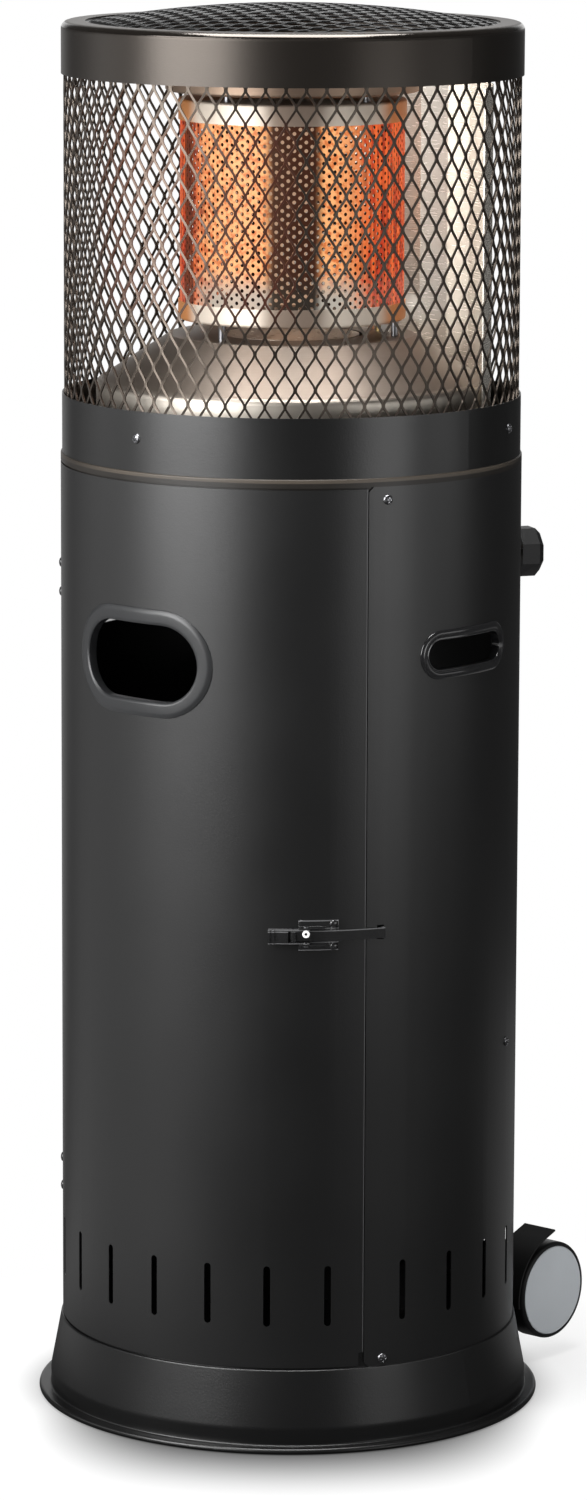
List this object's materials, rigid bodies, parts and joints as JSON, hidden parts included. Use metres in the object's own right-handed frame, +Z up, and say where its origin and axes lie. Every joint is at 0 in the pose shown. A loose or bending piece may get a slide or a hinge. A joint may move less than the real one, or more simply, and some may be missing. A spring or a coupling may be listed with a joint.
{
  "type": "gas patio heater",
  "caption": "Cylindrical free-standing gas heater: slotted casing with a latched door, hand holes, rear wheels and a mesh-caged radiant burner with reflectors on top.",
  "frame": {"origin": "on the casing's axis, at floor level under the base flange", "axes": "+Z up along the casing's axis, -Y out of the door, +X to the right of someone facing the door; the control knob is at +X +Y"},
  "size_m": [0.416, 0.4605, 1.1504],
  "materials": {
    "black_coat": "matte black powder coat",
    "guard_black": "matte black heat-proof coat",
    "collar": "dark bronze heat-proof coat",
    "grey_trim": "satin grey",
    "gloss_black": "gloss black",
    "black_plastic": "black, lightly grained",
    "hub_grey": "plain grey",
    "stainless": "brushed",
    "polished": "polished",
    "emitter": "heat-tinted, glowing",
    "zinc": "bright zinc",
    "dark_steel": "black oxide",
    "brass": "turned",
    "copper": "drawn",
    "ceramic": "glazed white",
    "cream_plastic": "moulded"
  },
  "bodies": {
    "heater": {"base_skirt": "black_coat", "base_pan": "black_coat", "rear_shell": "black_coat", "side_handle_right": "gloss_black", "side_handle_left": "gloss_black", "burner_pan": "collar", "guard_band": "guard_black", "guard_mesh": "guard_black", "top_cap": "guard_black", "top_grille": "guard_black", "dome_reflector": "stainless", "rear_reflector": "polished", "emitter_feet": "zinc", "emitter_base": "stainless", "emitter_screen": "emitter", "emitter_lid": "stainless", "emitter_standoffs": "zinc", "deflector": "stainless", "burner_head": "stainless", "mixing_tube": "zinc", "gas_jet": "brass", "gas_pipe": "copper", "gas_valve": "brass", "pilot_burner": "brass", "thermocouple": "copper", "ignition_electrode": "ceramic", "piezo_igniter": "black_plastic", "tilt_switch": "cream_plastic", "hinge_leaves_fixed": "dark_steel", "hinge_pins": "zinc", "hinge_rivets_fixed": "dark_steel", "body_screws": "zinc", "band_screws": "zinc", "bracket_screws": "zinc", "wheel_bracket_right": "black_coat", "wheel_bracket_left": "black_coat", "axle_right": "zinc", "axle_left": "zinc"},
    "door": {"door_panel": "black_coat", "front_handle_trim": "grey_trim", "hinge_leaves_door": "dark_steel", "hinge_rivets_door": "dark_steel", "latch_base": "dark_steel", "latch_pivots": "zinc", "latch_rivets": "dark_steel"},
    "latch_lever": {"latch_lever": "dark_steel", "latch_strap_pin": "zinc"},
    "latch_strap": {"latch_strap": "dark_steel"},
    "valve_spindle": {"valve_spindle": "zinc"},
    "control_knob": {"control_knob": "black_plastic"},
    "wheel_right": {"wheel_right": "black_plastic", "hub_disc_right": "hub_grey"},
    "wheel_left": {"wheel_left": "black_plastic", "hub_disc_left": "hub_grey"}
  },
  "joints": [
    {"name": "door_hinge", "type": "hinge", "parent": "heater", "child": "door", "pos_m": [-0.16281, -0.094, 0.4235], "axis": [0, 0, -1], "range_deg": [0, 110]},
    {"name": "latch_lever_pivot", "type": "hinge", "parent": "door", "child": "latch_lever", "pos_m": [0.13647, -0.13647, 0.4235], "axis": [0, 0, 1], "range_deg": [0, 100]},
    {"name": "latch_strap_pivot", "type": "hinge", "parent": "latch_lever", "child": "latch_strap", "pos_m": [0.1278, -0.14194, 0.4235], "axis": [0, 0, 1], "range_deg": [-110, 0]},
    {"name": "knob_push", "type": "slide", "parent": "heater", "child": "valve_spindle", "axis": [-0.5, -0.866, 0], "range_m": [0, 0.004], "stiffness_N_per_m": 900},
    {"name": "knob_turn", "type": "hinge", "parent": "valve_spindle", "child": "control_knob", "pos_m": [0.099, 0.17147, 0.6965], "axis": [0.5, 0.866, 0], "range_deg": [0, 180]},
    {"name": "wheel_right_spin", "type": "hinge", "parent": "heater", "child": "wheel_right", "pos_m": [0.1045, 0.211, 0.059], "axis": [1, 0, 0], "continuous": true},
    {"name": "wheel_left_spin", "type": "hinge", "parent": "heater", "child": "wheel_left", "pos_m": [-0.1045, 0.211, 0.059], "axis": [1, 0, 0], "continuous": true}
  ],
  "couplings": [
    {"joint": "latch_strap_pivot", "follows": "latch_lever_pivot", "ratio": -1.1}
  ]
}
